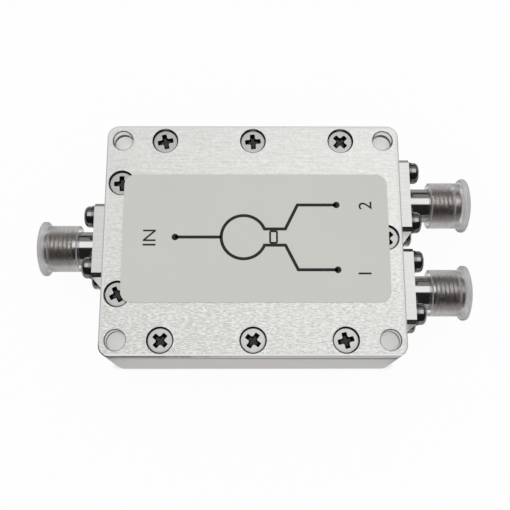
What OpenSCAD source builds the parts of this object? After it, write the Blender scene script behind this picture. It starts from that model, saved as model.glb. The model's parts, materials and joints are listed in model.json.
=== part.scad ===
// Two-way coaxial power splitter: a milled housing with a screwed lid, one input
// port on the -X side, two output ports on the +X side, each under a push-on dust cap.
// Origin at the centre of the four mounting holes, on the underside. +Z is up.

/* [Housing] */
// Length of the housing along X
body_l = 48.2; // [46:0.1:60]
// Width of the housing along Y
body_w = 38.5; // [37:0.1:50]
// Height of the housing's top face above the connector axes
axis_cover = 5.5; // [5.4:0.05:9]
// Radius of the upright corners
corner_r = 1.9; // [1:0.1:2.2]
// Wall round the cavity
wall = 4.8; // [4.6:0.1:6]
// Radius that the cutter leaves in the cavity corners
cavity_r = 2; // [1:0.1:3]
// Chamfer on the outer edges
edge_chamfer = 0.2; // [0.1:0.05:0.4]

/* [Lid] */
// Thickness of the lid plate
lid_t = 1.8; // [1.6:0.1:3]
// Depth of the counterbores for the lid screws
lid_sink = 1.3; // [1:0.05:1.4]
// Diameter of the counterbores for the lid screws
lid_sink_d = 4.3; // [4.1:0.1:5]
// Distance between neighbouring screws in the two long rows
row_pitch = 14.5; // [12:0.1:15]
// Distance between the two screws on the input side
side_pitch = 18.5; // [16:0.1:22]

/* [Mounting holes] */
// Diameter of the four through holes
mount_d = 3.2; // [3:0.1:3.6]
// Distance from each hole's centre to the two outer faces beside it
mount_inset = 2.65; // [2.4:0.05:3.2]
// Chamfer at the mouths of the through holes
mount_chamfer = 0.05; // [0.05:0.05:0.3]

/* [Label] */
// Length of the label along X
label_l = 42.8; // [20:0.1:43]
// Width of the label along Y
label_w = 21.3; // [10:0.1:22]
// Thickness of the label
label_t = 0.12; // [0.05:0.01:0.3]
// Radius of the label's corners
label_r = 1.8; // [0.5:0.1:4]
// How far the label sits towards the output side
label_shift = 0.45; // [0:0.05:0.8]

/* [Lid screws] */
// Head diameter of the lid screws
lid_head_d = 3.95; // [3:0.05:4]
// Head height of the lid screws
lid_head_h = 0.85; // [0.6:0.05:1]
// Chamfer round the lid screws' heads
lid_head_chamfer = 0.15; // [0.05:0.05:0.3]
// Length of the lid screws under the head
lid_screw_l = 5; // [3:0.1:6]

/* [Connectors] */
// Height of the connector axes above the underside
axis_z = 8.6; // [6.8:0.1:10]
// Distance between the two output axes
out_pitch = 15.3; // [12.8:0.1:16.5]
// Side of the square flange
flange_s = 12.4; // [11.6:0.1:12.6]
// Thickness of the flange
flange_t = 1.8; // [1.4:0.1:2.4]
// Chamfer on the four corners of the flange
flange_chamfer = 0.65; // [0.2:0.05:1]
// Diameter of the smooth neck behind the thread
neck_d = 5.7; // [5.2:0.05:6.1]
// Length of the smooth neck
neck_l = 4.1; // [2.5:0.1:5]
// Outside diameter of the thread
thread_d = 6.35; // [6.2:0.01:6.5]
// Length of the thread
thread_l = 4.1; // [3:0.1:6]
// Diameter of the plain lip in front of the thread
lip_d = 5.5; // [5.2:0.05:5.8]
// Length of the plain lip
lip_l = 1.3; // [0.6:0.1:2]
// Chamfer on the ends of the thread and the lip
barrel_chamfer = 0.25; // [0.1:0.05:0.35]
// Diameter of the mating bore in the front of the barrel
socket_d = 4.6; // [4.4:0.05:4.9]
// Depth of the mating bore
socket_l = 1.9; // [1.5:0.1:3]
// Diameter of the insulator
insulator_d = 4.1; // [3.6:0.1:4.2]
// Diameter of the contact inside the insulator
contact_d = 1.27; // [1.2:0.01:1.4]
// Diameter of the hole in the front of the contact
contact_bore_d = 0.94; // [0.7:0.01:0.95]
// Depth of the hole in the front of the contact
contact_bore_l = 2.2; // [1.5:0.1:4]
// Width of the slots that let the contact spring
contact_slot = 0.2; // [0.1:0.05:0.3]
// Diameter of the contact's tail over the board
tail_d = 0.9; // [0.6:0.05:1.2]
// Length of the contact's tail inside the cavity
tail_l = 2.6; // [1.5:0.1:4]
// Depth of the flat under the tail
tail_flat = 0.06; // [0.02:0.01:0.15]

/* [Flange screws] */
// Distance between flange screws across the flange
flange_pitch = 8.64; // [8.4:0.02:8.8]
// Head diameter of the flange screws
pan_head_d = 3.5; // [3:0.05:3.6]
// Head height of the flange screws
pan_head_h = 1.45; // [1.1:0.05:1.7]
// Radius round the edge of the flange screws' heads
pan_head_r = 0.7; // [0.3:0.05:0.8]
// Crown of the flange screws' heads above that edge
pan_crown = 0.22; // [0.1:0.02:0.3]
// Length of the flange screws under the head
flange_screw_l = 6; // [4:0.1:6.4]
// Outside diameter of the lock washers
washer_d = 3.7; // [3.2:0.05:3.8]
// Thickness of the lock washers
washer_t = 0.5; // [0.3:0.05:0.8]
// Width of the split in each lock washer
washer_split = 0.35; // [0.2:0.05:0.6]

/* [Dust caps] */
// Outside diameter of the cap's sleeve
cap_d = 7.75; // [7.5:0.05:8.2]
// Diameter of the rim at the closed end
cap_rim_d = 9.15; // [8.6:0.05:9.8]
// Thickness of the rim at its edge
cap_rim_t = 1.05; // [0.8:0.05:1.6]
// Radius round both edges of the rim
cap_rim_r = 0.4; // [0.2:0.05:0.5]
// Rise of the domed end
cap_dome = 0.75; // [0.4:0.05:1.2]
// Length of the cap along its axis
cap_l = 7.1; // [6.8:0.05:8.2]
// Thickness of the closed end on the axis
cap_end_t = 0.65; // [0.6:0.05:1.3]
// Chamfer inside the open end
cap_mouth_chamfer = 0.35; // [0.1:0.05:0.4]
// Play between the sleeve and the thread, all round
cap_play = 0.08; // [0.04:0.01:0.15]
// Gap between barrel and closed end, input cap
input_cap_gap = 0.05; // [0.05:0.05:2]
// Gap between barrel and closed end, output 1 cap
output_1_cap_gap = 0.25; // [0.05:0.05:2]
// Gap between barrel and closed end, output 2 cap
output_2_cap_gap = 1; // [0.05:0.05:2]

/* [Circuit board] */
// Thickness of the board
board_t = 0.8; // [0.5:0.05:1.6]
// Play between the board and the cavity wall
board_play = 0.15; // [0.1:0.05:0.4]
// Distance from the cavity's end walls to the board screws
board_inset = 3.2; // [2.8:0.1:4]
// Length of the board screws under the head
board_screw_l = 4; // [3:0.1:5]
// Thickness of the conductor pattern
trace_t = 0.07; // [0.03:0.01:0.15]
// Width of the port lines
line_w = 1.8; // [1.2:0.05:2.2]
// Width of the two quarter-wave arms
arm_w = 1; // [0.6:0.05:1.4]
// Radius of the arms' centre line
arm_r = 6; // [5:0.1:7]
// Clear gap between the arms' ends
arm_gap = 1.2; // [0.8:0.05:1.6]
// Length of the isolation resistor across the gap
resistor_l = 2; // [1.8:0.1:3.2]
// Width of the isolation resistor
resistor_w = 1.25; // [0.8:0.05:1.6]
// Height of the isolation resistor
resistor_h = 0.5; // [0.3:0.05:0.7]

/* [Screw threads] */
// Diameter of all the screw shanks
shank_d = 1.9; // [1.6:0.05:2]
// Diameter of the holes that the screws pass through
pass_d = 2.3; // [2.2:0.05:2.5]
// Play between a shank and its tapped hole, all round
tap_play = 0.02; // [0.01:0.01:0.05]
// Depth of a tapped hole past the screw's tip
tap_spare = 0.5; // [0.2:0.05:0.6]
// Chamfer on the tips of the screws
shank_chamfer = 0.25; // [0.1:0.05:0.4]
// Span of the cross recesses
cross_l = 2.5; // [1.6:0.05:2.6]
// Width of a cross recess's arms
cross_w = 0.72; // [0.4:0.02:0.8]
// Depth of the cross recesses
cross_h = 0.6; // [0.3:0.05:0.75]

/* [Hidden] */

$fn = 64;
cut = 0.01;
arc_steps = 8;
// Largest part of a cap's wall that the chamfer at its mouth takes
mouth_share = 0.7;

body_h = axis_z + axis_cover;
lid_z = body_h + lid_t;
hole_x = body_l / 2 - mount_inset;
hole_y = body_w / 2 - mount_inset;
cavity_l = body_l - 2 * wall;
cavity_w = body_w - 2 * wall;

// The board lies just low enough for the contacts' tails to rest on its conductors
trace_top = axis_z - tail_d / 2 + tail_flat;
board_top = trace_top - trace_t;
floor_z = board_top - board_t;
board_l = cavity_l - 2 * board_play;
board_w = cavity_w - 2 * board_play;
board_x = cavity_l / 2 - board_inset;
// The board screws stand midway between an output line and the cavity's side wall
board_y = (out_pitch / 2 + line_w / 2 + cavity_w / 2) / 2;

barrel_l = neck_l + thread_l + lip_l;
barrel_top = flange_t + barrel_l;
contact_top = barrel_top - socket_l;
pan_head_z = flange_t + washer_t;

// The conductor pattern's ring and the roots of its output lines
junction_x = -arm_r - line_w;
root_x = junction_x + 2 * arm_r;
root_y = (arm_gap + line_w) / 2;
turn_x = root_x + resistor_w + 2 * line_w;

// Each port: side of the housing, then its place along Y
input_port = [-1, 0];
output_1_port = [1, -out_pitch / 2];
output_2_port = [1, out_pitch / 2];

// Each lid screw: place, then the angle at which its cross recess stopped
lid_screws_at = [
    [-row_pitch, hole_y, 13], [0, hole_y, 5], [row_pitch, hole_y, 44],
    [-row_pitch, -hole_y, 49], [0, -hole_y, 54], [row_pitch, -hole_y, 14],
    [-hole_x, side_pitch / 2, 3], [-hole_x, -side_pitch / 2, 28], [hole_x, 0, 40]];

function arc(centre, r, from, to) =
    [for (i = [0:arc_steps]) centre + r * [cos(from + (to - from) * i / arc_steps),
        sin(from + (to - from) * i / arc_steps)]];

// Half outline of a domed top on a rounded edge, from the side to the axis
function crowned_top(r, edge_r, crown, top) =
    let (reach = r - edge_r,
        lift = crown + edge_r,
        dome_r = (reach ^ 2 + lift ^ 2 - edge_r ^ 2) / (2 * crown),
        seam = acos(reach / (dome_r - edge_r)))
    concat(arc([reach, top - lift], edge_r, 0, seam), arc([0, top - dome_r], dome_r, seam, 90));

// Block with rounded upright corners and chamfered rims, standing on z = 0
module edged_block(l, w, h, r, c) {
    for (sx = [-1, 1], sy = [-1, 1])
        translate([sx * (l / 2 - r), sy * (w / 2 - r), 0])
            rotate_extrude()
                polygon([[0, 0], [r - c, 0], [r, c], [r, h - c], [r - c, h], [0, h]]);
    translate([0, w / 2 - r, 0])
        rotate([90, 0, 0])
            linear_extrude(w - 2 * r)
                bevelled_section(l, h, c);
    translate([-l / 2 + r, 0, 0])
        rotate([90, 0, 90])
            linear_extrude(l - 2 * r)
                bevelled_section(w, h, c);
}

module bevelled_section(l, h, c) {
    polygon([[-l / 2 + c, 0], [l / 2 - c, 0], [l / 2, c], [l / 2, h - c],
        [l / 2 - c, h], [-l / 2 + c, h], [-l / 2, h - c], [-l / 2, c]]);
}

module rounded_rect(l, w, r) {
    square([l - 2 * r, w], center = true);
    square([l, w - 2 * r], center = true);
    for (sx = [-1, 1], sy = [-1, 1])
        translate([sx * (l / 2 - r), sy * (w / 2 - r)])
            circle(r);
}

module at_corners(x, y) {
    for (sx = [-1, 1], sy = [-1, 1])
        translate([sx * x, sy * y, 0])
            children();
}

module at_lid_screws() {
    for (s = lid_screws_at)
        translate([s.x, s.y, 0])
            rotate(s.z)
                children();
}

// Local +Z points out of the port, local +X points down, z = 0 on the housing's side face
module at_port(port) {
    translate([port.x * body_l / 2, port.y, axis_z])
        rotate([0, 0, port.x > 0 ? 0 : 180])
            rotate([0, 90, 0])
                children();
}

module at_flange_screws() {
    at_corners(flange_pitch / 2, flange_pitch / 2)
        children();
}

module tapped_hole(depth) {
    translate([0, 0, -depth])
        cylinder(d = shank_d + 2 * tap_play, h = depth + cut);
}

module chamfered_mouth(d, c) {
    translate([0, 0, -c])
        cylinder(d1 = d, d2 = d + 2 * (c + cut), h = c + cut);
}

module cross_recess(top) {
    for (turn = [0, 90])
        rotate(turn)
            translate([-cross_l / 2, -cross_w / 2, top - cross_h])
                cube([cross_l, cross_w, cross_h + cut]);
}

// Flat-topped head with a chamfered rim; the shank hangs below z = 0
module lid_screw() {
    r = lid_head_d / 2;
    c = lid_head_chamfer;
    difference() {
        rotate_extrude()
            polygon([[0, 0], [r, 0], [r, lid_head_h - c], [r - c, lid_head_h], [0, lid_head_h]]);
        cross_recess(lid_head_h);
    }
    shank(lid_screw_l);
}

module shank(length) {
    r = shank_d / 2;
    c = shank_chamfer;
    rotate_extrude()
        polygon([[0, cut], [r, cut], [r, c - length], [r - c, -length], [0, -length]]);
}

// Rounded head with a crowned top
module pan_screw(length) {
    difference() {
        rotate_extrude()
            polygon(concat([[0, 0], [pan_head_d / 2, 0]],
                crowned_top(pan_head_d / 2, pan_head_r, pan_crown, pan_head_h)));
        cross_recess(pan_head_h);
    }
    shank(length);
}

module housing() {
    color("lightgray")
        difference() {
            edged_block(body_l, body_w, body_h, corner_r, edge_chamfer);
            translate([0, 0, floor_z])
                linear_extrude(body_h)
                    rounded_rect(cavity_l, cavity_w, cavity_r);
            at_corners(hole_x, hole_y) {
                translate([0, 0, -cut])
                    cylinder(d = mount_d, h = body_h + 2 * cut);
                rotate([180, 0, 0])
                    chamfered_mouth(mount_d, mount_chamfer);
            }
            translate([0, 0, body_h])
                at_lid_screws()
                    tapped_hole(lid_screw_l - lid_t + lid_sink + tap_spare);
            translate([0, 0, floor_z])
                at_corners(board_x, board_y)
                    tapped_hole(board_screw_l - board_t + tap_spare);
            for (port = [input_port, output_1_port, output_2_port])
                at_port(port) {
                    translate([0, 0, -wall - cut])
                        cylinder(d = insulator_d + 2 * tap_play, h = wall + 2 * cut);
                    at_flange_screws()
                        tapped_hole(flange_screw_l - pan_head_z + tap_spare);
                }
        }
}

module lid() {
    color("gainsboro")
        translate([0, 0, body_h])
            difference() {
                edged_block(body_l, body_w, lid_t, corner_r, edge_chamfer);
                at_corners(hole_x, hole_y) {
                    translate([0, 0, -cut])
                        cylinder(d = mount_d, h = lid_t + 2 * cut);
                    translate([0, 0, lid_t])
                        chamfered_mouth(mount_d, mount_chamfer);
                }
                at_lid_screws() {
                    translate([0, 0, -cut])
                        cylinder(d = pass_d, h = lid_t);
                    translate([0, 0, lid_t - lid_sink])
                        cylinder(d = lid_sink_d, h = lid_sink + cut);
                }
            }
}

module label() {
    color("silver")
        translate([label_shift, 0, lid_z])
            linear_extrude(label_t)
                rounded_rect(label_l, label_w, label_r);
}

module lid_screws() {
    color("whitesmoke")
        translate([0, 0, lid_z - lid_sink])
            at_lid_screws()
                lid_screw();
}

module circuit_board() {
    color("darkgreen")
        translate([0, 0, floor_z])
            linear_extrude(board_t)
                difference() {
                    rounded_rect(board_l, board_w, cavity_r);
                    at_corners(board_x, board_y)
                        circle(d = pass_d);
                }
}

// Input line, two arms round a ring, then two output lines with the resistor across their roots
module conductor_pattern() {
    end_x = board_l / 2 - board_play;
    color("goldenrod")
        translate([0, 0, board_top])
            linear_extrude(trace_t) {
                translate([-end_x, -line_w / 2])
                    square([junction_x + end_x, line_w]);
                difference() {
                    translate([junction_x + arm_r, 0])
                        difference() {
                            circle(arm_r + arm_w / 2);
                            circle(arm_r - arm_w / 2);
                        }
                    translate([root_x - arm_r / 2, -arm_gap / 2])
                        square([arm_r, arm_gap]);
                }
                for (side = [-1, 1]) {
                    translate([root_x - arm_w / 2, side * root_y - line_w / 2])
                        square([turn_x - root_x + arm_w / 2, line_w]);
                    translate([turn_x - line_w, side > 0 ? arm_gap / 2 : -out_pitch / 2 - line_w / 2])
                        square([line_w, out_pitch / 2 + line_w / 2 - arm_gap / 2]);
                    translate([turn_x - line_w, side * out_pitch / 2 - line_w / 2])
                        square([end_x - turn_x + line_w, line_w]);
                }
            }
}

module isolation_resistor() {
    color("dimgray")
        translate([root_x + line_w - resistor_w / 2, -resistor_l / 2, trace_top])
            cube([resistor_w, resistor_l, resistor_h]);
}

module board_screws() {
    color("whitesmoke")
        translate([0, 0, board_top])
            at_corners(board_x, board_y)
                pan_screw(board_screw_l);
}

// Square flange and turned barrel in one piece
module connector_shell(port) {
    flat = flange_s / 2 - flange_chamfer;
    half = flange_s / 2;
    neck_top = flange_t + neck_l;
    thread_top = neck_top + thread_l;
    c = barrel_chamfer;
    color("silver")
        at_port(port)
            difference() {
                union() {
                    linear_extrude(flange_t)
                        polygon([[-flat, -half], [flat, -half], [half, -flat], [half, flat],
                            [flat, half], [-flat, half], [-half, flat], [-half, -flat]]);
                    rotate_extrude()
                        polygon([[0, flange_t - c], [neck_d / 2, flange_t - c],
                            [neck_d / 2, neck_top], [thread_d / 2 - c, neck_top],
                            [thread_d / 2, neck_top + c], [thread_d / 2, thread_top - c],
                            [thread_d / 2 - c, thread_top], [lip_d / 2, thread_top],
                            [lip_d / 2, barrel_top - c], [lip_d / 2 - c, barrel_top],
                            [0, barrel_top]]);
                }
                translate([0, 0, -cut])
                    cylinder(d = insulator_d + 2 * tap_play, h = barrel_top);
                translate([0, 0, contact_top])
                    cylinder(d = socket_d, h = socket_l + cut);
                at_flange_screws()
                    translate([0, 0, -cut])
                        cylinder(d = pass_d, h = flange_t + 2 * cut);
            }
}

module insulator(port) {
    color("white")
        at_port(port)
            translate([0, 0, -wall])
                difference() {
                    cylinder(d = insulator_d, h = wall + contact_top);
                    translate([0, 0, -cut])
                        cylinder(d = contact_d + 2 * tap_play, h = wall + contact_top + 2 * cut);
                }
}

module contact(port) {
    color("gold")
        at_port(port) {
            difference() {
                translate([0, 0, -wall])
                    cylinder(d = contact_d, h = wall + contact_top);
                translate([0, 0, contact_top - contact_bore_l])
                    cylinder(d = contact_bore_d, h = contact_bore_l + cut);
                for (turn = [0, 90])
                    rotate(turn)
                        translate([-contact_d, -contact_slot / 2, contact_top - contact_bore_l])
                            cube([2 * contact_d, contact_slot, contact_bore_l + cut]);
            }
            difference() {
                translate([0, 0, -wall - tail_l])
                    cylinder(d = tail_d, h = tail_l + cut);
                translate([tail_d / 2 - tail_flat, -tail_d, -wall - tail_l - cut])
                    cube([tail_d, 2 * tail_d, tail_l + cut]);
            }
        }
}

module flange_screws(port) {
    color("whitesmoke")
        at_port(port)
            translate([0, 0, pan_head_z])
                at_flange_screws()
                    pan_screw(flange_screw_l);
}

module lock_washers(port) {
    color("gray")
        at_port(port)
            translate([0, 0, flange_t])
                at_flange_screws()
                    difference() {
                        cylinder(d = washer_d, h = washer_t);
                        translate([0, 0, -cut])
                            cylinder(d = pass_d, h = washer_t + 2 * cut);
                        translate([0, -washer_split / 2, -cut])
                            cube([washer_d, washer_split, washer_t + 2 * cut]);
                    }
}

// Soft push-on cap: sleeve over the thread, wider rim with a domed end
module dust_cap(port, gap) {
    top = barrel_top + gap + cap_end_t;
    rim_reach = cap_rim_d / 2 - cap_rim_r;
    rim_low = top - cap_dome - cap_rim_t;
    bore_r = thread_d / 2 + cap_play;
    bore_top = barrel_top + gap;
    open_z = top - cap_l;
    // The mouth's chamfer leaves part of the sleeve's wall standing
    c = min(cap_mouth_chamfer, mouth_share * (cap_d / 2 - bore_r));
    color("gainsboro", 0.6)
        at_port(port)
            rotate_extrude()
                polygon(concat(
                    [[0, bore_top], [bore_r, bore_top], [bore_r, open_z + c], [bore_r + c, open_z],
                        [cap_d / 2, open_z], [cap_d / 2, rim_low - cap_rim_r]],
                    arc([rim_reach, rim_low + cap_rim_r], cap_rim_r, -90, 0),
                    crowned_top(cap_rim_d / 2, cap_rim_r, cap_dome, top)));
}

module input_shell() connector_shell(input_port);
module output_1_shell() connector_shell(output_1_port);
module output_2_shell() connector_shell(output_2_port);
module input_insulator() insulator(input_port);
module output_1_insulator() insulator(output_1_port);
module output_2_insulator() insulator(output_2_port);
module input_contact() contact(input_port);
module output_1_contact() contact(output_1_port);
module output_2_contact() contact(output_2_port);
module input_flange_screws() flange_screws(input_port);
module output_1_flange_screws() flange_screws(output_1_port);
module output_2_flange_screws() flange_screws(output_2_port);
module input_washers() lock_washers(input_port);
module output_1_washers() lock_washers(output_1_port);
module output_2_washers() lock_washers(output_2_port);
module input_dust_cap() dust_cap(input_port, input_cap_gap);
module output_1_dust_cap() dust_cap(output_1_port, output_1_cap_gap);
module output_2_dust_cap() dust_cap(output_2_port, output_2_cap_gap);

housing();
lid();
label();
lid_screws();
circuit_board();
conductor_pattern();
isolation_resistor();
board_screws();
input_shell();
output_1_shell();
output_2_shell();
input_insulator();
output_1_insulator();
output_2_insulator();
input_contact();
output_1_contact();
output_2_contact();
input_flange_screws();
output_1_flange_screws();
output_2_flange_screws();
input_washers();
output_1_washers();
output_2_washers();
input_dust_cap();
output_1_dust_cap();
output_2_dust_cap();
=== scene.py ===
import json
import math

import bmesh
import bpy
from mathutils import Matrix, Vector


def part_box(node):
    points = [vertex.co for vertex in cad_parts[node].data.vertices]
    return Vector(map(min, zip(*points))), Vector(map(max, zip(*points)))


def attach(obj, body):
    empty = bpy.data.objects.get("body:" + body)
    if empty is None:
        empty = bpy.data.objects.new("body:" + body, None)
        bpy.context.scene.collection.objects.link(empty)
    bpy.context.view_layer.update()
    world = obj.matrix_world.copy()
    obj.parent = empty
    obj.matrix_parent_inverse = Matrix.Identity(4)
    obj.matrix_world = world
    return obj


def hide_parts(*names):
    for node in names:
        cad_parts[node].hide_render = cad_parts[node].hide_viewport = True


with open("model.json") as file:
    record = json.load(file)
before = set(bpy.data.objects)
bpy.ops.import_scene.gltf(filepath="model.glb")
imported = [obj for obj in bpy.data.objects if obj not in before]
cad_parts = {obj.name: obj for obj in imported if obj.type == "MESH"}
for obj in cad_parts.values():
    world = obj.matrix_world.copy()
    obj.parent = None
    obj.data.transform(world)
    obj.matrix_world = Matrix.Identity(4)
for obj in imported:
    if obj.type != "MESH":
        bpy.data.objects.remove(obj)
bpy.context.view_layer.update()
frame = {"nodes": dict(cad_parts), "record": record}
nodes = frame["nodes"]
mm = 0.001
ports = ("input", "output_1", "output_2")
cornerMount = frame["record"]["mounts"][0]["dims"]    # spacing and radius of the four through holes
bpy.context.scene.view_settings.view_transform = "Standard"


# Shader maths: one wire is an output socket, and arithmetic on wires adds Math nodes
class Wire:
    def __init__(self, tree, socket=None):
        self.tree = tree
        self.socket = socket

    def add(self, kind, settings=None, sockets=None, out=0):
        node = self.tree.nodes.new(kind)
        for name, value in (settings or {}).items():
            if name == "stops":
                for stop, (place, tone) in zip(node.color_ramp.elements, value):
                    stop.position = place
                    stop.color = (tone, tone, tone, 1)
            else:
                setattr(node, name, value)
        for name, value in (sockets or {}).items():
            if isinstance(value, Wire):
                self.tree.links.new(value.socket, node.inputs[name])
            else:
                node.inputs[name].default_value = value
        return Wire(self.tree, node.outputs[out])

    def calc(self, operation, *values):
        return self.add("ShaderNodeMath", {"operation": operation}, dict(enumerate(values)))

    def __add__(self, other):
        return self.calc("ADD", self, other)

    def __radd__(self, other):
        return self.calc("ADD", other, self)

    def __sub__(self, other):
        return self.calc("SUBTRACT", self, other)

    def __rsub__(self, other):
        return self.calc("SUBTRACT", other, self)

    def __mul__(self, other):
        return self.calc("MULTIPLY", self, other)

    def __rmul__(self, other):
        return self.calc("MULTIPLY", other, self)

    def __truediv__(self, other):
        return self.calc("DIVIDE", self, other)

    def __pow__(self, other):
        return self.calc("POWER", self, other)

    def __abs__(self):
        return self.calc("ABSOLUTE", self)

    def noise(self, perMm, detail=2.0, rough=0.5):  # object coordinates, stretched to waves per mm
        point = self.add("ShaderNodeTexCoord", out="Object")
        stretch = [each / mm for each in perMm]
        place = self.add("ShaderNodeMapping", None, {"Vector": point, "Scale": stretch})
        sockets = {"Vector": place, "Scale": 1.0, "Detail": detail, "Roughness": rough}
        return self.add("ShaderNodeTexNoise", None, sockets)

    def ramp(self, low, high):  # black at low, white at high
        return self.add("ShaderNodeValToRGB", {"stops": ((low, 0), (high, 1))}, {"Fac": self})

    def fade(self, low, high):  # 0 at low, 1 at high
        return self.add("ShaderNodeMapRange", None, {"Value": self, "From Min": low, "From Max": high})

    def axis(self, name):  # one object coordinate, in mm
        point = self.add("ShaderNodeTexCoord", out="Object")
        return self.add("ShaderNodeSeparateXYZ", None, {0: point}, out=name) / mm

    def mix(self, factor, first, second):
        return self.add("ShaderNodeMix", {"data_type": "RGBA"}, {0: factor, 6: first, 7: second}, out=2)

    def bump(self, height, depth):  # depth in mm
        return self.add("ShaderNodeBump", None, {"Height": height, "Distance": depth * mm, "Strength": 1.0})


def shade(level, tint=(1, 1, 1)):
    return tuple(level * each for each in tint) + (1,)


def newMaterial(name, fixed):
    material = bpy.data.materials.new(name)
    material.use_nodes = True
    shader = material.node_tree.nodes["Principled BSDF"]
    for socket, value in fixed.items():
        shader.inputs[socket].default_value = value
    wire = Wire(material.node_tree)

    def plug(**links):
        for socket, source in links.items():
            wire.tree.links.new(source.socket, shader.inputs[socket.replace("_", " ")])

    return material, wire, plug


# Photograph's camera, in mm and degrees: it looks down and leans towards the front
camera = {"target": (0.404, 0.814, 1.4), "distance": 142.698, "tilt": 14.533, "roll": 0.002, "yaw": -0.328,
          "lens": 56.485, "sensor": 36, "sees": (0.01, 20)}    # the last in metres


def makeCamera():
    data = bpy.data.cameras.new("photo_camera")
    data.sensor_width = camera["sensor"]
    data.lens = camera["lens"]
    data.clip_start, data.clip_end = camera["sees"]
    turn = (Matrix.Rotation(math.radians(camera["tilt"]), 4, "X")
            @ Matrix.Rotation(math.radians(camera["roll"]), 4, "Z")
            @ Matrix.Rotation(math.radians(camera["yaw"]), 4, "Y"))
    eye = Vector(camera["target"]) * mm + turn.col[2].xyz * camera["distance"] * mm
    piece = linkPiece("photo_camera", data)
    piece.matrix_world = Matrix.Translation(eye) @ turn
    bpy.context.scene.camera = piece
    print("camera ready")


# Studio, in metres: white floor and surround, and a soft key from above. Gloss and clear plastic also see a
# grey table and a dark room with one softbox, its edges in degrees from overhead
studio = {"worldLight": 0.72, "floorSide": 6.0, "floorGlow": 0.95, "floorTone": 0.8, "floorRough": 0.9,
          "underTone": 0.7, "underX": (24.5, 23.5), "underY": (19.5, 18.5), "underDeep": (30, -17),    # in mm
          "keySide": 0.6, "keyHeight": 0.75, "keyBack": 0.12, "keyPower": 1.7,
          "roomRadius": 1.0, "roomFoot": 0.002, "roomDark": 0.02, "roomBack": 0.28, "roomWall": (0.2, 0.45),
          "boxGlow": 1.25, "boxSide": 30, "boxFront": -3, "boxBack": 33, "boxSoft": 5,
          "tableReach": (0.029, 0.045), "tableGlow": 0.4, "tableLift": 0.0004}


def linkPiece(name, data):
    piece = bpy.data.objects.new(name, data)
    bpy.context.scene.collection.objects.link(piece)
    return piece


def stagePiece(name, bm, material):
    mesh = bpy.data.meshes.new(name)
    bm.to_mesh(mesh)
    bm.free()
    mesh.materials.append(material)
    piece = linkPiece(name, mesh)
    return piece


def setAside(name, bm, material):  # a piece of the studio that only gloss and clear plastic see
    piece = stagePiece(name, bm, material)
    piece.visible_camera = False
    piece.visible_diffuse = False
    piece.visible_shadow = False


def seenRay(wire):  # 1 for what the camera, gloss and clear plastic see
    seen = wire.add("ShaderNodeLightPath", out="Is Camera Ray")
    rays = seen.socket.node.outputs
    for name in ("Is Glossy Ray", "Is Transmission Ray"):
        seen = wire.calc("MAXIMUM", seen, Wire(wire.tree, rays[name]))
    return seen


def makeWorld():
    world = bpy.data.worlds.new("studio")
    world.use_nodes = True
    bpy.context.scene.world = world
    wire = Wire(world.node_tree)
    background = world.node_tree.nodes["Background"]
    background.inputs["Color"].default_value = shade(1)
    strength = studio["worldLight"] + (1 - studio["worldLight"]) * seenRay(wire)
    wire.tree.links.new(strength.socket, background.inputs["Strength"])


def floorFinish():
    fixed = {"Base Color": shade(studio["floorTone"]), "Roughness": studio["floorRough"],
             "Specular IOR Level": 0.1}
    material, wire = newMaterial("pale_floor", fixed)[:2]
    x, y = wire.axis("X"), wire.axis("Y")
    under = abs(x).fade(*studio["underX"]) * abs(y).fade(*studio["underY"])
    under = under * y.fade(*studio["underDeep"])    # the shade under the housing, deeper at the front
    tone = wire.mix(under, shade(1), shade(studio["underTone"]))
    glow = wire.add("ShaderNodeEmission", None, {"Color": tone, "Strength": 1.0})
    lit = Wire(wire.tree, wire.tree.nodes["Principled BSDF"].outputs[0])
    both = wire.add("ShaderNodeMixShader", None, {0: seenRay(wire) * studio["floorGlow"], 1: lit, 2: glow})
    wire.tree.links.new(both.socket, wire.tree.nodes["Material Output"].inputs["Surface"])
    return material


def makeFloor():
    bm = bmesh.new()
    bmesh.ops.create_grid(bm, x_segments=1, y_segments=1, size=studio["floorSide"] / 2)
    stagePiece("floor", bm, floorFinish())


def makeKey():
    lamp = bpy.data.lights.new("key", "AREA")
    lamp.shape = "SQUARE"
    lamp.size = studio["keySide"]
    lamp.energy = studio["keyPower"]
    key = linkPiece("key", lamp)
    key.location = (0, studio["keyBack"], studio["keyHeight"])
    key.rotation_euler = (-math.atan2(studio["keyBack"], studio["keyHeight"]), 0, 0)
    key.visible_glossy = False
    key.visible_transmission = False


def roomFinish():
    fixed = {"Base Color": shade(0), "Specular IOR Level": 0.0, "Emission Strength": 1.0}
    material, wire, plug = newMaterial("room", fixed)
    height = wire.axis("Z")
    side = abs(wire.calc("ARCTAN2", wire.axis("X"), height))
    back = wire.calc("ARCTAN2", wire.axis("Y"), height)
    boxSide, boxFront, boxBack, boxSoft = [math.radians(studio[name]) for name in
                                           ("boxSide", "boxFront", "boxBack", "boxSoft")]
    box = (side.fade(boxSide + boxSoft, boxSide) * back.fade(boxFront - boxSoft, boxFront)
           * back.fade(boxBack + boxSoft, boxBack))
    wall = back.fade(0, boxBack) * (height * mm / studio["roomRadius"]).fade(*studio["roomWall"])
    dim = wire.mix(wall, shade(studio["roomDark"]), shade(studio["roomBack"]))
    plug(Emission_Color=wire.mix(box, dim, shade(studio["boxGlow"])))
    return material


def makeRoom():
    bm = bmesh.new()
    bmesh.ops.create_uvsphere(bm, u_segments=48, v_segments=24, radius=studio["roomRadius"])
    bmesh.ops.bisect_plane(bm, geom=list(bm.verts) + list(bm.edges) + list(bm.faces),
                           plane_co=(0, 0, studio["roomFoot"]), plane_no=(0, 0, 1), clear_inner=True)
    setAside("room", bm, roomFinish())


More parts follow.
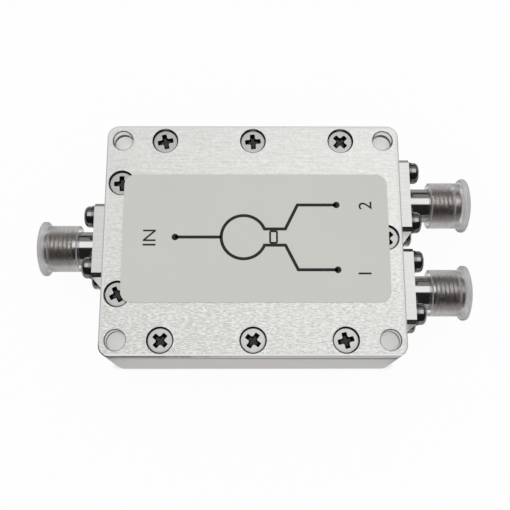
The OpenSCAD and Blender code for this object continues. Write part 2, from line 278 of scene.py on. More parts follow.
def makeTable():
    bm = bmesh.new()
    for reach in (studio["tableReach"], (studio["roomRadius"], studio["roomRadius"])):
        place = Matrix.Translation((0, 0, studio["tableLift"])) @ Matrix.Diagonal((*reach, 1, 1))
        bmesh.ops.create_circle(bm, segments=48, radius=1, matrix=place)
    bmesh.ops.bridge_loops(bm, edges=bm.edges)
    fixed = {"Base Color": shade(0), "Specular IOR Level": 0.0,
             "Emission Color": shade(studio["tableGlow"]), "Emission Strength": 1.0}
    material, wire, plug = newMaterial("table", fixed)
    mirrored = wire.add("ShaderNodeLightPath", out="Glossy Depth")
    plug(Alpha=wire.calc("MINIMUM", mirrored, 1.0))    # mirrored only: straight through a cap the floor shows
    setAside("table", bm, material)


def makeStudio():
    makeWorld()
    makeFloor()
    makeKey()
    makeRoom()
    makeTable()
    print("floor, light, room and table ready")


# Finishes. A pair of figures in a look is where a mark starts to show and where it shows in full, mostly in mm
def cornerHoles(wire):  # offsets in x and y from the axis of the nearest mounting hole, in mm
    y = wire.axis("Y")
    return (abs(wire.axis("X")) - cornerMount["spacing_x_mm"] / 2,
            y - wire.calc("SIGN", y) * (cornerMount["spacing_y_mm"] / 2))


def lidFinish():
    look = {"dull": shade(0.57, (1, 1.01, 0.965)), "bright": shade(0.84, (1, 1.01, 0.97)),
            "contrast": (0.3, 0.7), "roughness": 0.36, "metal": 0.4, "bite": 0.012, "lighterPerMm": 0.0035,
            "streak": (0.3, 3.4, 3.4), "streakShare": 0.6, "streakRough": 0.12,
            "fleck": (1.9, 1.9, 1.9), "fleckShare": 0.4,
            "grain": (1.5, 8.0, 8.0), "frontGrain": 2.5, "frontFrom": (4, -13),
            "edge": shade(0.69, (1, 0.99, 1)), "edgeShare": 0.6, "edgeAt": (-0.6, -0.5),
            "rim": shade(0.5, (1, 0.99, 1)), "rimAt": (-0.22, -0.17), "rimDeep": (0.3, 0.22), "rimRough": 0.3,
            "frontRim": shade(0.96), "frontRimAt": (-0.42, -0.37),
            "shineAt": (-0.45, -0.4), "shineEnds": (-0.26, -0.3),
            "side": shade(0.45, (1, 0.98, 0.96)), "sideAt": (-0.04, -0.02),
            "hole": shade(0.93), "holeAt": (0.06, 0.03), "holeDeep": (0.06, 0.12), "holeRough": -0.2,
            "lip": shade(0.1), "lipAt": (0.2, 0.14), "lipDeep": (0.12, 0.06), "lipLean": (-2.4, 0.6),
            "sunk": shade(0.06), "sunkDeep": (0.08, 0.3), "sunkInside": (-0.5, -0.6),
            "dark": shade(0.05), "seamAt": (0.3, 0.22), "seamInHole": 0.3,
            "frontShadeTop": (0.03, 0.07), "frontShadeFoot": (0.5, 0.4), "frontShadeEdge": (-1.0, -0.8),
            "frontShadeFront": (-16.6, -17.6), "frontShadeLeft": (3, -7), "frontShadeRagged": 14}
    material, wire, plug = newMaterial("lid_brushed", {})
    low, high = [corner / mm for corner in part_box("lid")]
    x, y, z = [wire.axis(name) for name in "XYZ"]
    streak = wire.noise(look["streak"], detail=5, rough=0.65)
    fleck = wire.noise(look["fleck"], detail=3)
    grain = wire.noise(look["grain"], detail=2.5, rough=0.65)
    tone = (streak * look["streakShare"] + fleck * look["fleckShare"]
            + look["frontGrain"] * y.fade(*look["frontFrom"]) * (grain - 0.5))
    lit = tone + look["lighterPerMm"] * x    # the right side takes more of the light

    depth = high.z - z
    outer = wire.calc("MAXIMUM", abs(x) - high.x, abs(y) - high.y)    # 0 on the side faces, less inside
    toFront = low.y - y    # 0 on the front face, less inside
    holeX, holeY = cornerHoles(wire)
    holeR = cornerMount["hole_r_mm"]
    wall = (holeX * holeX + holeY * holeY) ** 0.5 - holeR    # 0 on a hole's wall, more outside it
    inHole = wall.fade(*look["holeAt"])
    outerBack = (holeX + holeY) / holeR    # painted shade on a hole's lip is darkest on this side
    lip = wall.fade(*look["lipAt"]) * depth.fade(*look["lipDeep"]) * outerBack.fade(*look["lipLean"])
    rim = (wire.calc("MAXIMUM", outer.fade(*look["rimAt"]), toFront.fade(*look["frontRimAt"]))
           * depth.fade(*look["rimDeep"]))
    shine = toFront.fade(*look["shineAt"]) * outer.fade(*look["shineEnds"])    # light on the front edge
    sunk = depth.fade(*look["sunkDeep"]) * outer.fade(*look["sunkInside"]) * (1 - inHole)    # painted shade in the counterbores
    # painted shade on the lid's front edge just below the top, fading out towards the right with a ragged end
    frontShade = (depth.fade(*look["frontShadeTop"]) * depth.fade(*look["frontShadeFoot"]) * outer.fade(*look["frontShadeEdge"])
            * y.fade(*look["frontShadeFront"]) * (x + look["frontShadeRagged"] * fleck).fade(*look["frontShadeLeft"]))
    seam = (z - low.z - look["seamInHole"] * inHole).fade(*look["seamAt"])    # dark joint with the housing

    base = wire.mix(lit.ramp(*look["contrast"]), look["dull"], look["bright"])
    base = wire.mix(look["edgeShare"] * outer.fade(*look["edgeAt"]), base, look["edge"])
    base = wire.mix(rim, base, wire.mix(shine, look["rim"], look["frontRim"]))
    base = wire.mix(outer.fade(*look["sideAt"]), base, look["side"])
    base = wire.mix(lip, base, look["lip"])
    base = wire.mix(depth.fade(*look["holeDeep"]) * inHole, base, look["hole"])
    base = wire.mix(sunk, base, look["sunk"])
    # painted shade along the lid's front edge, towards the left
    base = wire.mix(frontShade, base, look["dark"])
    plug(Base_Color=wire.mix(seam, base, look["dark"]),
         Metallic=look["metal"] * (1 - rim) + (1 - look["metal"]) * inHole,
         Roughness=(look["roughness"] + look["streakRough"] * (streak - 0.5) + look["rimRough"] * rim
                    + look["holeRough"] * inHole),
         Normal=wire.bump(tone, look["bite"]))
    return material


def housingFinish():
    look = {"dull": shade(0.47, (1, 0.955, 0.925)), "bright": shade(0.58, (1, 0.955, 0.925)),
            "roughness": 0.42, "metal": 0.5, "bite": 0.006,
            "grain": (0.25, 0.25, 4.0), "grainShare": 0.5, "grainRough": 0.15,
            "cloud": (0.12, 0.12, 0.12), "cloudShare": 0.5,
            "hole": shade(0.93, (1, 0.99, 0.98)), "holeAt": (0.2, 0.1), "holeRough": -0.2,
            "dark": shade(0.05), "seamAt": (0.2, 0.14), "seamInHole": 0.2,
            "shadeSpread": 0.6, "shadeSpreadAt": (-16, 14), "shadeSpreadSoft": (2, 0.2)}
    material, wire, plug = newMaterial("housing_milled", {})
    grain = wire.noise(look["grain"], detail=4, rough=0.6)
    cloud = wire.noise(look["cloud"], detail=2)
    holeX, holeY = cornerHoles(wire)
    inHole = ((holeX * holeX + holeY * holeY) ** 0.5 - cornerMount["hole_r_mm"]).fade(*look["holeAt"])
    # painted shade under the lid's edge, spreading further down towards the right
    shadeSpread = look["shadeSpread"] * wire.axis("X").fade(*look["shadeSpreadAt"]) * (1 - inHole)
    start, full = [at + soft * shadeSpread for at, soft in zip(look["seamAt"], look["shadeSpreadSoft"])]
    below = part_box("housing")[1].z / mm - wire.axis("Z")
    seam = (below - look["seamInHole"] * inHole).fade(start, full)    # dark joint under the lid, with painted shade below it that grows wider and softer towards the right
    base = wire.mix(grain * look["grainShare"] + cloud * look["cloudShare"], look["dull"], look["bright"])
    base = wire.mix(inHole, base, look["hole"])
    plug(Base_Color=wire.mix(seam, base, look["dark"]),
         Metallic=look["metal"] + (1 - look["metal"]) * inHole,
         Roughness=look["roughness"] + look["grainRough"] * (grain - 0.5) + look["holeRough"] * inHole,
         Normal=wire.bump(grain, look["bite"]))
    return material


def labelFinish():
    look = {"dull": shade(0.555, (1, 1.01, 0.935)), "bright": shade(0.615, (1, 1.01, 0.935)),
            "roughness": 0.62, "bite": 0.004, "cloud": (0.06, 0.06, 0.06), "cloudShare": 0.6,
            "fibre": (7, 7, 7), "fibreShare": 0.4, "fibreRough": 0.12}
    material, wire, plug = newMaterial("label_matt", {"Specular IOR Level": 0.3})
    cloud = wire.noise(look["cloud"], detail=2)
    fibre = wire.noise(look["fibre"], detail=2)
    tone = cloud * look["cloudShare"] + fibre * look["fibreShare"]
    plug(Base_Color=wire.mix(tone, look["dull"], look["bright"]),
         Roughness=look["roughness"] + look["fibreRough"] * fibre,
         Normal=wire.bump(fibre, look["bite"]))
    return material


def inkFinish():
    look = {"dull": shade(0.012), "bright": shade(0.03), "roughness": 0.5,
            "spot": (5, 5, 5), "spotRough": 0.2}
    material, wire, plug = newMaterial("label_ink", {"Specular IOR Level": 0.25})
    spot = wire.noise(look["spot"], detail=2)
    plug(Base_Color=wire.mix(spot, look["dull"], look["bright"]),
         Roughness=look["roughness"] + look["spotRough"] * spot)
    return material


# Steel of the screws, washers and recesses, and the contacts' gold; the washers and recesses are darkened with
# painted shade
steel = {"warm": (1, 0.99, 0.975), "grain": (2.6, 2.6, 2.6), "grainRough": 0.14}


def steelFinish(name, dull, bright, roughness, bite, warm=steel["warm"]):
    material, wire, plug = newMaterial(name, {"Metallic": 1.0})
    grain = wire.noise(steel["grain"], detail=4, rough=0.6)
    plug(Base_Color=wire.mix(grain, shade(dull, warm), shade(bright, warm)),
         Roughness=roughness + steel["grainRough"] * (grain - 0.5),
         Normal=wire.bump(grain, bite))
    return material


def lidScrewFinish():
    look = {"dull": shade(0.5, steel["warm"]), "bright": shade(0.8, steel["warm"]), "roughness": 0.38,
            "metal": 0.6, "bite": 0.012, "shaded": shade(0.01), "facesBack": (0.15, 0.4),
            "grey": shade(0.2), "greyShare": 0.42, "greyAt": (25, -40), "greySlope": 1.2}
    material, wire, plug = newMaterial("lid_screw_steel", {"Metallic": look["metal"]})
    grain = wire.noise(steel["grain"], detail=4, rough=0.6)
    normal = wire.add("ShaderNodeNewGeometry", out="True Normal")
    backEdge = wire.add("ShaderNodeSeparateXYZ", None, {0: normal}, out="Y").fade(*look["facesBack"])
    backLeft = (wire.axis("X") - look["greySlope"] * wire.axis("Y")).fade(*look["greyAt"])
    base = wire.mix(grain, look["dull"], look["bright"])
    base = wire.mix(look["greyShare"] * backLeft, base, look["grey"])    # painted shade: the heads there are greyer, as less light reaches the back left
    plug(Base_Color=wire.mix(backEdge, base, look["shaded"]),    # a sunk head's back edge lies in shade
         Roughness=look["roughness"] + steel["grainRough"] * (grain - 0.5),
         Normal=wire.bump(grain, look["bite"]))
    return material


def shellFinish():
    look = {"dull": shade(0.6, (1, 0.985, 0.965)), "bright": shade(0.7, (1, 0.99, 0.975)), "roughness": 0.12,
            "turned": (9, 0.2, 0.2), "turnedRough": 0.1, "bite": 0.0015, "cloud": (0.5, 0.5, 0.5),
            "flangeDull": shade(0.52, (1, 0.99, 0.97)), "flangeBright": shade(0.67, (1, 0.99, 0.97)),
            "flangeAt": (25.98, 25.93), "flangeRough": 0.12, "milled": (0.3, 5, 5), "lighterPerMm": 0.014,
            "threadTone": shade(0.8, (1, 0.97, 0.94)), "threadAt": (29.9, 30.0), "threadRough": 0.24,
            "ringTone": shade(0.97), "ringFrom": (33.93, 33.98), "ringTo": (34.33, 34.28), "ringRough": 0.4,
            "ringMetal": 0.5}
    material, wire, plug = newMaterial("shell_plated", {})
    turned = wire.noise(look["turned"], detail=3)    # rings left by turning round the port's axis
    milled = wire.noise(look["milled"], detail=3)
    cloud = wire.noise(look["cloud"], detail=3)
    x = wire.axis("X")
    along = abs(x)
    flange = along.fade(*look["flangeAt"])
    thread = along.fade(*look["threadAt"])
    ring = along.fade(*look["ringFrom"]) * along.fade(*look["ringTo"])
    plated = wire.mix(thread, wire.mix(cloud, look["dull"], look["bright"]), look["threadTone"])
    plated = wire.mix(ring, plated, look["ringTone"])    # the chamfer at the thread's end catches the light
    lit = milled + look["lighterPerMm"] * x    # the right side takes more of the light
    plug(Base_Color=wire.mix(flange, plated, wire.mix(lit, look["flangeDull"], look["flangeBright"])),
         Roughness=(look["roughness"] + look["turnedRough"] * (turned - 0.5) + look["flangeRough"] * flange
                    + look["threadRough"] * thread + look["ringRough"] * ring),
         Metallic=1 - (1 - look["ringMetal"]) * ring,
         Normal=wire.bump(turned, look["bite"]))
    return material


# Soft plastic of the dust caps
capPlastic = {"tint": (1, 0.985, 0.985), "cloud": (0.5, 0.5, 0.5), "fixed": {"IOR": 1.15, "Roughness": 0.42}}


def capFinish():
    look = {"clear": shade(1.0, capPlastic["tint"]), "milky": shade(0.87, capPlastic["tint"]),
            "cloudShare": 0.6, "cloudFrom": 0.2, "ripple": (1.2, 1.2, 1.2), "bite": 0.003,
            "pitch": 0.7056, "threadShowsFrom": (29.8, 30.1), "threadShowsTo": (34.4, 34.1)}
    material, wire, plug = newMaterial("cap_milky", {"Transmission Weight": 1.0, **capPlastic["fixed"]})
    cloud = wire.noise(capPlastic["cloud"], detail=2)
    along = abs(wire.axis("X"))
    wave = 0.5 + 0.5 * wire.calc("SINE", along * (2 * math.pi / look["pitch"]))
    threadShows = along.fade(*look["threadShowsFrom"]) * along.fade(*look["threadShowsTo"])    # painted stripes of the thread's light and shade, where it shows through the plastic
    tone = (cloud * look["cloudShare"] + look["cloudFrom"]) * (1 - threadShows) + wave * threadShows
    plug(Base_Color=wire.mix(tone, look["milky"], look["clear"]),
         Normal=wire.bump(wire.noise(look["ripple"], detail=2), look["bite"]))
    return material


def thickCapFinish(name, dull, bright, clear):  # where the cap is thick or has an edge it scatters more light
    material, wire, plug = newMaterial(name, {"Transmission Weight": clear, **capPlastic["fixed"]})
    cloud = wire.noise(capPlastic["cloud"], detail=2)
    plug(Base_Color=wire.mix(cloud, shade(dull, capPlastic["tint"]), shade(bright, capPlastic["tint"])))
    return material


def plasticFinish(name, dull, bright, roughness):
    look = {"cloud": (0.8, 0.8, 0.8), "cloudRough": 0.1, "bite": 0.004}
    material, wire, plug = newMaterial(name, {"Specular IOR Level": 0.4})
    cloud = wire.noise(look["cloud"], detail=3)
    plug(Base_Color=wire.mix(cloud, dull, bright),
         Roughness=roughness + look["cloudRough"] * (cloud - 0.5),
         Normal=wire.bump(cloud, look["bite"]))
    return material


# Steel and gold: dull and bright tone, roughness and depth of the grain. Thick cap: tones and clear share
finishes = {
    "lid": lidFinish(),
    "housing": housingFinish(),
    "label": labelFinish(),
    "ink": inkFinish(),
    "lidScrew": lidScrewFinish(),
    "flangeScrew": steelFinish("flange_screw_steel", 0.36, 0.48, 0.14, 0.003),
    # steel darkened with painted shade, for the cross recesses
    "recess": steelFinish("recess_painted_shade", 0.02, 0.08, 0.42, 0.006),
    # steel washers, darkened with painted shade for the gap between a pan head and the flange
    "washer": steelFinish("washer_steel", 0.2, 0.3, 0.24, 0.006),
    "shell": shellFinish(),
    "cap": capFinish(),
    "capMouth": thickCapFinish("cap_mouth", 0.82, 0.95, 0.7),
    "capRim": thickCapFinish("cap_rim", 0.72, 0.82, 0.6),
    "insulator": plasticFinish("insulator_white", shade(0.84), shade(0.92, (1, 1, 0.98)), 0.5),
    "gold": steelFinish("contact_gold", 0.8, 0.95, 0.22, 0.003, warm=(1, 0.76, 0.34)),
    "board": plasticFinish("board_green", (0.02, 0.11, 0.04, 1), (0.04, 0.17, 0.07, 1), 0.45),
    "resistor": plasticFinish("resistor_glaze", shade(0.02), shade(0.035), 0.3),
}
wornBy = {"housing": "housing", "lid": "lid", "label": "label", "lid_screws": "lidScrew",
          "circuit_board": "board", "conductor_pattern": "gold", "isolation_resistor": "resistor",
          "board_screws": "lidScrew"}
for port in ports:
    wornBy.update({port + "_shell": "shell", port + "_insulator": "insulator", port + "_contact": "gold",
                   port + "_flange_screws": "flangeScrew", port + "_washers": "washer",
                   port + "_dust_cap": "cap"})


def dressNodes():
    for name, finish in wornBy.items():
        mesh = nodes[name].data
        mesh.materials.clear()
        mesh.materials.append(finishes[finish])
    print("dressed", len(wornBy), "CAD pieces")


# Modelling helpers: meshes are made in mm and scaled once at the end
near = 1e-4    # points closer than this, in mm, are one


def finishPiece(name, bm, finish, stands=(), place=Matrix.Identity(4), sharp=32):
    bmesh.ops.recalc_face_normals(bm, faces=bm.faces)
    bmesh.ops.transform(bm, matrix=Matrix.Scale(mm, 4) @ place, verts=bm.verts)
    mesh = bpy.data.meshes.new(name)
    bm.to_mesh(mesh)
    bm.free()
    mesh.shade_smooth()
    mesh.set_sharp_from_angle(angle=math.radians(sharp))
    for each in finish:
        mesh.materials.append(finishes[each])
    piece = linkPiece(name, mesh)
    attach(piece, "root")
    if stands:
        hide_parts(*stands)


def absorb(bm, other, place=Matrix.Identity(4)):  # adds another bmesh and frees it
    bmesh.ops.remove_doubles(other, verts=other.verts, dist=near)
    bmesh.ops.recalc_face_normals(other, faces=other.faces)
    bmesh.ops.transform(other, matrix=place, verts=other.verts)
    mesh = bpy.data.meshes.new("part")
    other.to_mesh(mesh)
    other.free()
    bm.from_mesh(mesh)
    bpy.data.meshes.remove(mesh)


def arc(centreX, centreR, radius, start, end, steps):  # points (x, r) of a profile, angles from +x towards +r
    turns = [math.radians(start + (end - start) * i / steps) for i in range(steps + 1)]
    return [(centreX + radius * math.cos(t), centreR + radius * math.sin(t)) for t in turns]


def domeOver(r, edge, crown):  # sphere that runs smoothly into a rounded edge: radius and angle of the seam
    reach = r - edge
    radius = (reach ** 2 + (crown + edge) ** 2 - edge ** 2) / (2 * crown)
    return radius, math.degrees(math.asin(reach / (radius - edge)))


def lathe(bm, points, axis, steps):  # a line of points spun once round an axis
    verts = [bm.verts.new(point) for point in points]
    edges = [bm.edges.new(pair) for pair in zip(verts, verts[1:])]
    bmesh.ops.spin(bm, geom=verts + edges, cent=(0, 0, 0), axis=axis, angle=2 * math.pi, steps=steps,
                   use_merge=True)


def latheX(bm, profile, steps):  # profile of (x, r) points
    lathe(bm, [(x, 0, r) for x, r in profile], (1, 0, 0), steps)


def portPlace(port):  # local +X runs out along the port's axis, from the housing's face
    low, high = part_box(port + "_shell")
    middle = (low + high) / 2 / mm
    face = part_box("housing")[1].x / mm
    side = -1 if middle.x < 0 else 1
    turn = Matrix.Rotation(math.pi if side < 0 else 0, 4, "Z")
    return Matrix.Translation((side * face, middle.y, middle.z)) @ turn


def cadCopy(name, place):
    bm = bmesh.new()
    mesh = nodes[name].data
    verts = [bm.verts.new(vert.co) for vert in mesh.vertices]    # points and faces, without stored normals
    for face in mesh.polygons:
        bm.faces.new([verts[i] for i in face.vertices])
    bmesh.ops.transform(bm, matrix=place.inverted() @ Matrix.Scale(1 / mm, 4), verts=bm.verts)
    bmesh.ops.remove_doubles(bm, verts=bm.verts, dist=near)
    return bm


# Connector shell: the flange and neck keep the solid's form, the barrel gets its real thread
barrel = {"neckR": 2.85, "boreR": 2.07, "cutAt": 2.0, "join": 0.1, "slackX": 0.01, "slackR": 0.03, "steps": 72,
          "threadFrom": 5.9, "threadTo": 10.0, "crestR": 3.175, "rootR": 2.75, "pitch": 0.7056,
          "crestFlat": 0.1, "flankGap": 0.02, "ridgeSunk": 0.06, "ridgeStart": 0.1,
          "collar": 0.12, "collarDrop": 0.04, "collarStep": 0.1, "collarRise": 0.18, "collarFall": 0.25,
          "lipR": 2.75, "lipEnd": 11.3, "edge": 0.25, "socketR": 2.3, "socketFloor": 9.4}


def rimAt(bm, x, r):  # open edges on a circle of radius r round the axis
    def onRim(spot):
        return abs(spot.x - x) < barrel["slackX"] and abs(math.hypot(spot.y, spot.z) - r) < barrel["slackR"]

    return [edge for edge in bm.edges if edge.is_boundary and all(onRim(vert.co) for vert in edge.verts)]


def threadRidge(start):  # a trapezoid swept along a helix, cut down by the chamfer at the front
    b = barrel
    ridge = bmesh.new()
    half = b["pitch"] / 2 - b["flankGap"]
    flat = b["crestFlat"] / 2
    sunk = b["rootR"] - b["ridgeSunk"]
    steps = round((b["threadTo"] - start) / b["pitch"] * b["steps"])
    corners = [(-half, sunk), (-flat, b["crestR"]), (flat, b["crestR"]), (half, sunk)]
    face = ridge.faces.new([ridge.verts.new((start + x, 0, r)) for x, r in corners])
    bmesh.ops.spin(ridge, geom=[face], cent=(0, 0, 0), axis=(1, 0, 0), dvec=(b["pitch"] / b["steps"], 0, 0),
                   angle=2 * math.pi * steps / b["steps"], steps=steps)
    for vert in ridge.verts:
        reach = math.hypot(vert.co.y, vert.co.z)
        limit = min(b["crestR"], max(sunk, b["crestR"] - (vert.co.x - b["threadTo"] + b["edge"])))
        if reach > limit:
            vert.co.yz *= limit / reach
    return ridge


def makeShell(port):
    b = barrel
    place = portPlace(port)
    bm = cadCopy(port + "_shell", place)
    cut = b["cutAt"]
    bmesh.ops.bisect_plane(bm, geom=list(bm.verts) + list(bm.edges) + list(bm.faces), plane_co=(cut, 0, 0),
                           plane_no=(1, 0, 0), clear_outer=True)
    join = cut + b["join"]
    collarEnd = b["threadFrom"] + b["collar"]
    collarR = b["crestR"] - b["collarDrop"]
    profile = [(join, b["neckR"]), (b["threadFrom"], b["neckR"]),
               (b["threadFrom"], b["neckR"] + b["collarStep"]),
               (b["threadFrom"] + b["collarRise"], collarR), (collarEnd, collarR),
               (collarEnd + b["collarFall"], b["rootR"]), (b["lipEnd"] - b["edge"], b["lipR"]),
               (b["lipEnd"], b["lipR"] - b["edge"]), (b["lipEnd"], b["socketR"]),
               (b["socketFloor"], b["socketR"]), (b["socketFloor"], b["boreR"]), (join, b["boreR"])]
    front = bmesh.new()
    latheX(front, profile, b["steps"])
    absorb(bm, front)
    for r in (b["neckR"], b["boreR"]):
        bmesh.ops.bridge_loops(bm, edges=rimAt(bm, cut, r) + rimAt(bm, join, r))
    absorb(bm, threadRidge(collarEnd + b["ridgeStart"]))
    finishPiece(port + "_threaded_shell", bm, ["shell"], [port + "_shell"], place)


# Dust cap: turned section of a soft moulding, with every edge rounded
cap = {"sleeveR": 3.875, "rimR": 4.575, "rimT": 1.05, "rimEdge": 0.4, "rimTurn": 160, "dome": 0.75,
       "length": 7.1, "endT": 0.65, "boreR": 3.255, "boreEdge": 0.3, "mouth": 0.35, "lipEdge": 0.12,
       "gusset": 0.35, "gussetTurn": -20, "steps": 128, "edgeSteps": 5, "rimSteps": 6, "domeSteps": 24}


def makeCap(port):
    c = cap
    low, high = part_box(port + "_dust_cap")
    top = max(-low.x, high.x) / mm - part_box("housing")[1].x / mm
    boreTop = top - c["endT"]
    openEnd = top - c["length"]
    rimLow = top - c["dome"] - c["rimT"]
    reach = c["rimR"] - c["rimEdge"]
    domeR, seam = domeOver(c["rimR"], c["rimEdge"], c["dome"])
    profile = [(boreTop, 0)]
    profile += arc(boreTop - c["boreEdge"], c["boreR"] - c["boreEdge"], c["boreEdge"], 0, 90, c["edgeSteps"])
    profile += [(openEnd + c["mouth"], c["boreR"]), (openEnd, c["boreR"] + c["mouth"])]
    profile += arc(openEnd + c["lipEdge"], c["sleeveR"] - c["lipEdge"], c["lipEdge"], 180, 90, c["edgeSteps"])
    profile += arc(rimLow - c["gusset"], c["sleeveR"] + c["gusset"], c["gusset"], -90, c["gussetTurn"],
                   c["edgeSteps"])
    profile += arc(rimLow + c["rimEdge"], reach, c["rimEdge"], c["rimTurn"], 90, c["rimSteps"])
    profile += arc(top - c["dome"] - c["rimEdge"], reach, c["rimEdge"], 90, seam, c["rimSteps"])
    profile += arc(top - domeR, 0, domeR, seam, 0, c["domeSteps"])
    bm = bmesh.new()
    section = bmesh.new()
    latheX(section, profile, c["steps"])
    absorb(bm, section)
    for each in bm.faces:
        spot = each.calc_center_median()
        outside = math.hypot(spot.y, spot.z) > c["sleeveR"] or spot.x > boreTop + c["endT"] / 2
        if spot.x < openEnd + c["mouth"]:
            each.material_index = 1
        elif spot.x > rimLow and outside:
            each.material_index = 2
    finishPiece(port + "_cap", bm, ["cap", "capMouth", "capRim"], [port + "_dust_cap"],
                portPlace(port), sharp=40)


# Screws: a head with a tapered cross recess on a plain shank, axis along +Z, z = 0 under the head
crossRecess = {"depth": 0.55, "taper": 0.6, "corner": 0.12, "throat": 0.22, "segments": 3, "steps": 64}
flatHead = {"r": 1.975, "h": 0.85, "edge": 0.14, "ring": 1.42, "shankR": 0.95, "shankL": 5.0, "tip": 0.25,
            "sink": 1.3, "rowPitch": 14.5, "sidePitch": 18.5, "span": 2.6, "arm": 0.82, "edgeSteps": 5,
            "backTurns": (13, 5, 44), "frontTurns": (49, 54, 14), "leftTurns": (3, 28), "rightTurn": 40}
panHead = {"r": 1.75, "h": 1.45, "edge": 0.7, "crown": 0.22, "ring": 1.3, "shankR": 0.95, "shankL": 6.0,
           "tip": 0.25, "pitch": 8.64, "seat": 2.3, "span": 2.3, "arm": 0.7, "edgeSteps": 8, "domeSteps": 3,
           "turn": 20, "turnStep": 31}


def shankProfile(h):
    return [(-h["shankL"], 0), (-h["shankL"], h["shankR"] - h["tip"]), (-h["shankL"] + h["tip"], h["shankR"]),
            (0, h["shankR"]), (0, h["r"])]


def flatProfile(h):
    edge = arc(h["h"] - h["edge"], h["r"] - h["edge"], h["edge"], 90, 0, h["edgeSteps"])
    return shankProfile(h) + edge + [(h["h"], h["ring"])]


def panProfile(h):
    domeR, seam = domeOver(h["r"], h["edge"], h["crown"])
    inner = math.degrees(math.asin(h["ring"] / domeR))
    edge = arc(h["h"] - h["crown"] - h["edge"], h["r"] - h["edge"], h["edge"], 90, seam, h["edgeSteps"])
    crown = arc(h["h"] - domeR, 0, domeR, seam, min(seam, inner), h["domeSteps"])
    return shankProfile(h) + edge + crown[1:]


def crossScrew(h, profile, turn, domeR=None):
    r = crossRecess
    bm = bmesh.new()
    lathe(bm, [(away, 0, z) for z, away in profile], (0, 0, 1), r["steps"])
    bmesh.ops.remove_doubles(bm, verts=bm.verts, dist=near)
    ring = [edge for edge in bm.edges if edge.is_boundary]
    top = h["h"]
    reach = h["span"] / 2
    half = h["arm"] / 2
    outline = [Matrix.Rotation(math.radians(turn + 90 * k), 3, "Z") @ Vector((x, y, top))
               for k in range(4) for x, y in ((reach, -half), (reach, half), (half, half))]
    face = bm.faces.new([bm.verts.new(point) for point in outline])
    corners = list(face.verts)
    for offset, spots in ((r["throat"], corners[2::3]), (r["corner"], corners[0::3] + corners[1::3])):
        bmesh.ops.bevel(bm, geom=spots, offset=offset, offset_type="OFFSET", segments=r["segments"],
                        profile=0.5, affect="VERTICES", material=-1)
    face = max(bm.faces, key=lambda each: len(each.verts))
    mouth = list(face.edges)
    if domeR:
        for vert in face.verts:
            vert.co.z = top - domeR + math.sqrt(domeR ** 2 - vert.co.xy.length_squared)
    bmesh.ops.triangle_fill(bm, use_beauty=True, edges=ring + mouth)
    pushed = bmesh.ops.extrude_face_region(bm, geom=[face])["geom"]
    if face.is_valid:
        bmesh.ops.delete(bm, geom=[face], context="FACES_ONLY")
    sunk = [each for each in pushed if isinstance(each, bmesh.types.BMVert)]
    bmesh.ops.translate(bm, vec=(0, 0, -r["depth"]), verts=sunk)
    bmesh.ops.scale(bm, vec=(r["taper"], r["taper"], 1), verts=sunk)
    floor = [each for each in pushed if isinstance(each, bmesh.types.BMFace)]
    bmesh.ops.poke(bm, faces=floor, offset=0.0)
    # faces of the recess take the second finish, darkened with painted shade
    for vert in sunk:
        for each in vert.link_faces:
            each.material_index = 1
    return bm


def makeLidScrews():
    h = flatHead
    holeX = cornerMount["spacing_x_mm"] / 2
    holeY = cornerMount["spacing_y_mm"] / 2
    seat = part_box("lid")[1].z / mm - h["sink"]
    row = (-h["rowPitch"], 0, h["rowPitch"])
    spots = [(x, holeY, turn) for x, turn in zip(row, h["backTurns"])]
    spots += [(x, -holeY, turn) for x, turn in zip(row, h["frontTurns"])]
    spots += [(-holeX, side * h["sidePitch"] / 2, turn) for side, turn in zip((1, -1), h["leftTurns"])]
    spots += [(holeX, 0, h["rightTurn"])]
    bm = bmesh.new()
    for x, y, turn in spots:
        absorb(bm, crossScrew(h, flatProfile(h), turn), Matrix.Translation((x, y, seat)))
    finishPiece("lid_flat_screws", bm, ["lidScrew", "recess"], ["lid_screws"])
    print("lid screws ready")


def makeFlangeScrews(port):
    h = panHead
    domeR = domeOver(h["r"], h["edge"], h["crown"])[0]
    outward = Matrix.Rotation(math.pi / 2, 4, "Y")    # the screw's +Z turned to the port's +X
    bm = bmesh.new()
    for k in range(4):
        y = h["pitch"] / 2 * (1 if k % 2 else -1)
        z = h["pitch"] / 2 * (1 if k > 1 else -1)
        screw = crossScrew(h, panProfile(h), h["turn"] + h["turnStep"] * k, domeR)
        absorb(bm, screw, Matrix.Translation((h["seat"], y, z)) @ outward)
    finishPiece(port + "_pan_screws", bm, ["flangeScrew", "recess"],
                [port + "_flange_screws"], portPlace(port))


# Label print: port words, with their place and size, and a plain one-into-two diagram
printing = {"lift": 0.012, "thick": 0.01,
            "words": (("IN", -16.5, -0.1, 3.0), ("1", 17.9, -6.0, 3.0), ("2", 18.3, 5.3, 3.0)),
            "stroke": 0.5, "from": -12.5, "to": 13.5, "ringX": -1.5, "ringR": 3.6, "ringSteps": 24,
            "gate": 22, "turnX": 5.2, "slopeX": 2, "branchY": 5.4, "dotR": 0.55, "dotSteps": 24,
            "boxX": 3.3, "boxW": 1.1, "boxL": 1.9, "boxStroke": 0.3}


def ribbon(bm, points, width):  # flat line with mitred corners
    spots = [Vector(point) for point in points]
    left, right = [], []
    for i, spot in enumerate(spots):
        before = (spot - spots[i - 1]).normalized() if i else None
        after = (spots[i + 1] - spot).normalized() if i + 1 < len(spots) else before
        before = before or after
        across = Vector((-before.y - after.y, before.x + after.x)).normalized()
        reach = width / 2 / across.dot(Vector((-before.y, before.x)))
        left.append(bm.verts.new((spot + across * reach).to_3d()))
        right.append(bm.verts.new((spot - across * reach).to_3d()))
    for i in range(len(spots) - 1):
        bm.faces.new((left[i], right[i], right[i + 1], left[i + 1]))


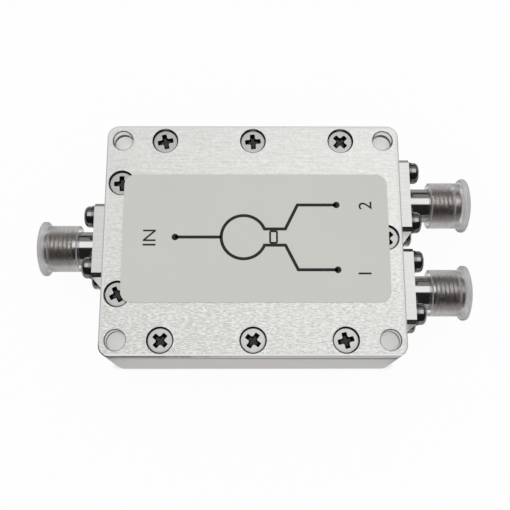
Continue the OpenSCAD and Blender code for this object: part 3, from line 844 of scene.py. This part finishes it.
def makeDiagram(top):
    d = printing
    n = d["ringSteps"]
    halfW, halfL = d["boxW"] / 2, d["boxL"] / 2
    bm = bmesh.new()
    ribbon(bm, [(d["from"], 0), (d["ringX"] - d["ringR"], 0)], d["stroke"])
    for side in (-1, 1):
        sweep = [math.radians(180 - side * (180 - d["gate"]) * i / n) for i in range(n + 1)]
        ring = [(d["ringX"] + d["ringR"] * math.cos(t), d["ringR"] * math.sin(t)) for t in sweep]
        branchY = side * d["branchY"]
        branch = [(d["turnX"], ring[-1][1]), (d["turnX"] + d["slopeX"], branchY), (d["to"], branchY)]
        ribbon(bm, ring + branch, d["stroke"])
        boxX, boxY = d["boxX"] + side * halfW, side * halfL
        ribbon(bm, [(boxX, -halfL), (boxX, halfL)], d["boxStroke"])
        ribbon(bm, [(d["boxX"] - halfW, boxY), (d["boxX"] + halfW, boxY)], d["boxStroke"])
    for x, y in ((d["from"], 0), (d["to"], -d["branchY"]), (d["to"], d["branchY"])):
        bmesh.ops.create_circle(bm, cap_ends=True, segments=d["dotSteps"], radius=d["dotR"],
                                matrix=Matrix.Translation((x, y, 0)))
    finishPiece("print_diagram", bm, ["ink"], (), Matrix.Translation((0, 0, top + d["lift"])))


def makePrint():
    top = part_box("label")[1].z / mm
    for text, x, y, size in printing["words"]:
        data = bpy.data.curves.new("word", "FONT")
        data.body = text
        data.size = size
        data.align_x = "CENTER"
        data.align_y = "CENTER"
        data.extrude = printing["thick"] / 2
        word = linkPiece("word", data)
        bpy.context.view_layer.update()
        bm = bmesh.new()
        bm.from_mesh(word.to_mesh())
        word.to_mesh_clear()
        bpy.data.objects.remove(word)
        place = Matrix.Translation((x, y, top + printing["lift"])) @ Matrix.Rotation(math.pi / 2, 4, "Z")
        finishPiece("print_" + text, bm, ["ink"], (), place)
    makeDiagram(top)
    print("label print ready")


makeCamera()
makeStudio()
dressNodes()
for port in ports:
    makeShell(port)
    makeCap(port)
    makeFlangeScrews(port)
    print(port, "shell, cap and screws ready")
makeLidScrews()
makePrint()
